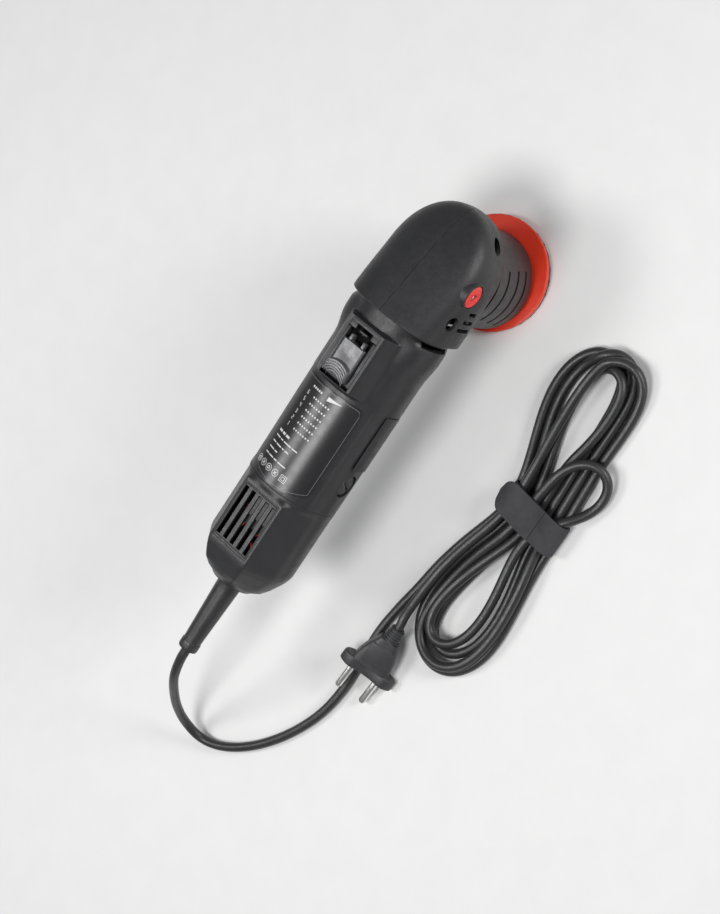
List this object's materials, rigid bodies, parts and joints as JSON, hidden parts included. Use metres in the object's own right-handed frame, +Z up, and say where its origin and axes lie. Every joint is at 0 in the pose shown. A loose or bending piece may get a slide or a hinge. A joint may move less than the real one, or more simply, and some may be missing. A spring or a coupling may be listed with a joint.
{
  "type": "dual action polisher",
  "caption": "Compact corded angle polisher: a slim round motor body, an angled head with a slotted skirt, an eccentric round backing plate, and a cord folded and tied with its plug.",
  "frame": {"origin": "on the working face of the pad, where the drive spindle's axis meets it", "axes": "+X along the motor body from its tail towards the head's nose, +Z up along the spindle, +Y to the tool's left side seen from its tail, away from the lock button"},
  "size_m": [0.417, 0.1909, 0.1185],
  "materials": {
    "housing_black": "fine-grained matte",
    "cover_black": "smooth satin",
    "label_black": "glossy printed sticker",
    "steel": "ground and turned",
    "bearing_steel": "polished rings with dark seals",
    "cast_aluminium": "as cast",
    "copper": "enamelled copper wire",
    "brass": "drawn",
    "plate_red": "satin moulded",
    "button_red": "satin moulded",
    "hook_black": "hook-and-loop facing",
    "carbon": "pressed carbon",
    "inner_grey": "moulded",
    "slider_grey": "moulded, slightly glossy",
    "cord_black": "flexible cord sheath",
    "tie_black": "woven hook-and-loop strap",
    "plug_black": "moulded",
    "pin_metal": "plated"
  },
  "bodies": {
    "housing": {"bearing_plate": "cast_aluminium", "brush_cap_left": "housing_black", "brush_cap_right": "housing_black", "brush_holder_left": "brass", "brush_holder_right": "brass", "carbon_brush_left": "carbon", "carbon_brush_right": "carbon", "cord_clamp": "inner_grey", "cord_hank": "cord_black", "cord_side_loop": "cord_black", "cord_tie": "tie_black", "fan_baffle": "cover_black", "field_coil_lower": "copper", "field_coil_upper": "copper", "field_core": "steel", "front_armature_bearing": "bearing_steel", "gear_housing": "cast_aluminium", "gear_screw_1": "steel", "gear_screw_2": "steel", "head_cover_left": "housing_black", "head_cover_right": "housing_black", "head_screw_front": "steel", "head_screw_rear": "steel", "lock_spring": "steel", "lower_spindle_bearing": "bearing_steel", "motor_housing": "housing_black", "plug_body": "plug_black", "plug_lead": "cord_black", "plug_pin_left": "pin_metal", "plug_pin_right": "pin_metal", "power_cord": "cord_black", "rating_label": "label_black", "rear_armature_bearing": "bearing_steel", "rear_bearing_sleeve": "cord_black", "rear_cover": "housing_black", "shroud": "housing_black", "side_panel_right": "cover_black", "speed_module": "inner_grey", "strain_relief": "cord_black", "switch_body": "inner_grey", "upper_spindle_bearing": "bearing_steel"},
    "armature": {"armature_shaft": "steel", "armature_core": "steel", "armature_winding_front": "copper", "armature_winding_rear": "copper", "commutator": "copper", "cooling_fan": "cover_black", "bevel_pinion": "steel"},
    "spindle": {"drive_spindle": "steel", "crown_gear": "steel", "counterweight": "cast_aluminium", "orbit_bearing": "bearing_steel"},
    "plate": {"pad_spindle": "steel", "backing_plate": "plate_red", "hook_face": "hook_black"},
    "lock": {"lock_button": "button_red", "lock_pin": "steel"},
    "switch": {"switch_slider": "slider_grey", "switch_link": "inner_grey"},
    "dial": {"speed_dial": "cover_black"}
  },
  "joints": [
    {"name": "spindle_spin", "type": "hinge", "parent": "housing", "child": "spindle", "pos_m": [0, 0, 0.05], "axis": [0, 0, 1], "continuous": true},
    {"name": "plate_spin", "type": "hinge", "parent": "spindle", "child": "plate", "pos_m": [0.005, 0, 0.0275], "axis": [0, 0, 1], "continuous": true},
    {"name": "armature_spin", "type": "hinge", "parent": "housing", "child": "armature", "pos_m": [0, 0, 0.078], "axis": [1, 0, 0], "continuous": true},
    {"name": "switch_slide", "type": "slide", "parent": "housing", "child": "switch", "axis": [1, 0, 0], "range_m": [0, 0.0065]},
    {"name": "dial_turn", "type": "hinge", "parent": "housing", "child": "dial", "pos_m": [-0.205, 0.0235, 0.08], "axis": [0, 0, 1], "range_deg": [0, 270]},
    {"name": "lock_press", "type": "slide", "parent": "housing", "child": "lock", "axis": [0, 1, 0], "range_m": [0, 0.003], "stiffness_N_per_m": 250, "springref_m": -0.001, "deforming": ["lock_spring"]}
  ],
  "couplings": [
    {"joint": "armature_spin", "follows": "spindle_spin", "ratio": 4.1111}
  ]
}
